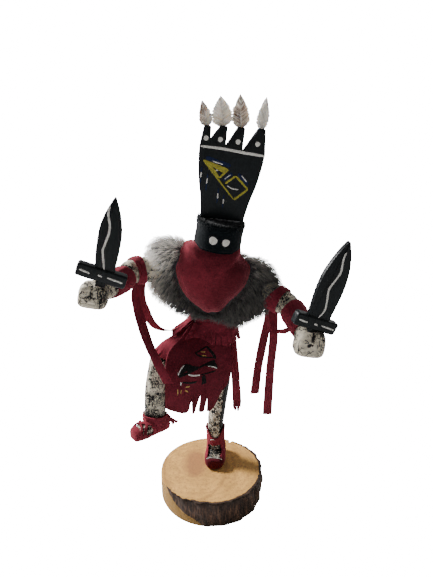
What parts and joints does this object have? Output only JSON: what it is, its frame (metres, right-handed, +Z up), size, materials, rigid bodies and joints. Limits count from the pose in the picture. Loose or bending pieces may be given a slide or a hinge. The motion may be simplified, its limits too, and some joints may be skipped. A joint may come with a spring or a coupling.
{
  "type": "kachina doll",
  "caption": "Carved wooden dancer standing on one leg on a log slice, dressed in red suede and grey fur, with a flat black crown and wooden swords.",
  "frame": {"origin": "centre of the log slice's underside, on the surface that the doll stands on", "axes": "+Z up, the doll faces -Y, +X towards the doll's own left hand"},
  "size_m": [0.1741, 0.1029, 0.3158],
  "materials": {
    "sanded_wood": "sanded, unvarnished, with bark",
    "crackled_paint": "off-white paint crackled over black",
    "black_paint": "satin black paint with white, yellow and blue lines",
    "red_felt": "matte felt",
    "red_suede": "napped suede",
    "grey_fur": "long soft fur",
    "cream_feather": "soft feather"
  },
  "bodies": {
    "root": {"wood_base": "sanded_wood", "figure": "crackled_paint", "head": "black_paint", "crown": "black_paint", "feather_1": "cream_feather", "feather_2": "cream_feather", "feather_3": "cream_feather", "feather_4": "cream_feather", "sword_right": "black_paint", "sword_left": "black_paint", "bib": "red_felt", "fur_wrap": "grey_fur", "waist_fringe": "red_suede", "front_apron": "red_suede", "back_flap": "red_suede", "hip_wrap": "red_suede", "side_sash": "red_suede", "streamer_right_front": "red_suede", "streamer_right_back": "red_suede", "streamer_left_front": "red_suede", "streamer_left_back": "red_suede", "cuff_tie_left": "red_suede", "armband_right": "red_suede", "armband_left": "red_suede", "cuff_right": "red_suede", "cuff_left": "red_suede", "moccasin_left": "red_suede", "moccasin_right": "red_suede"}
  },
  "joints": []
}
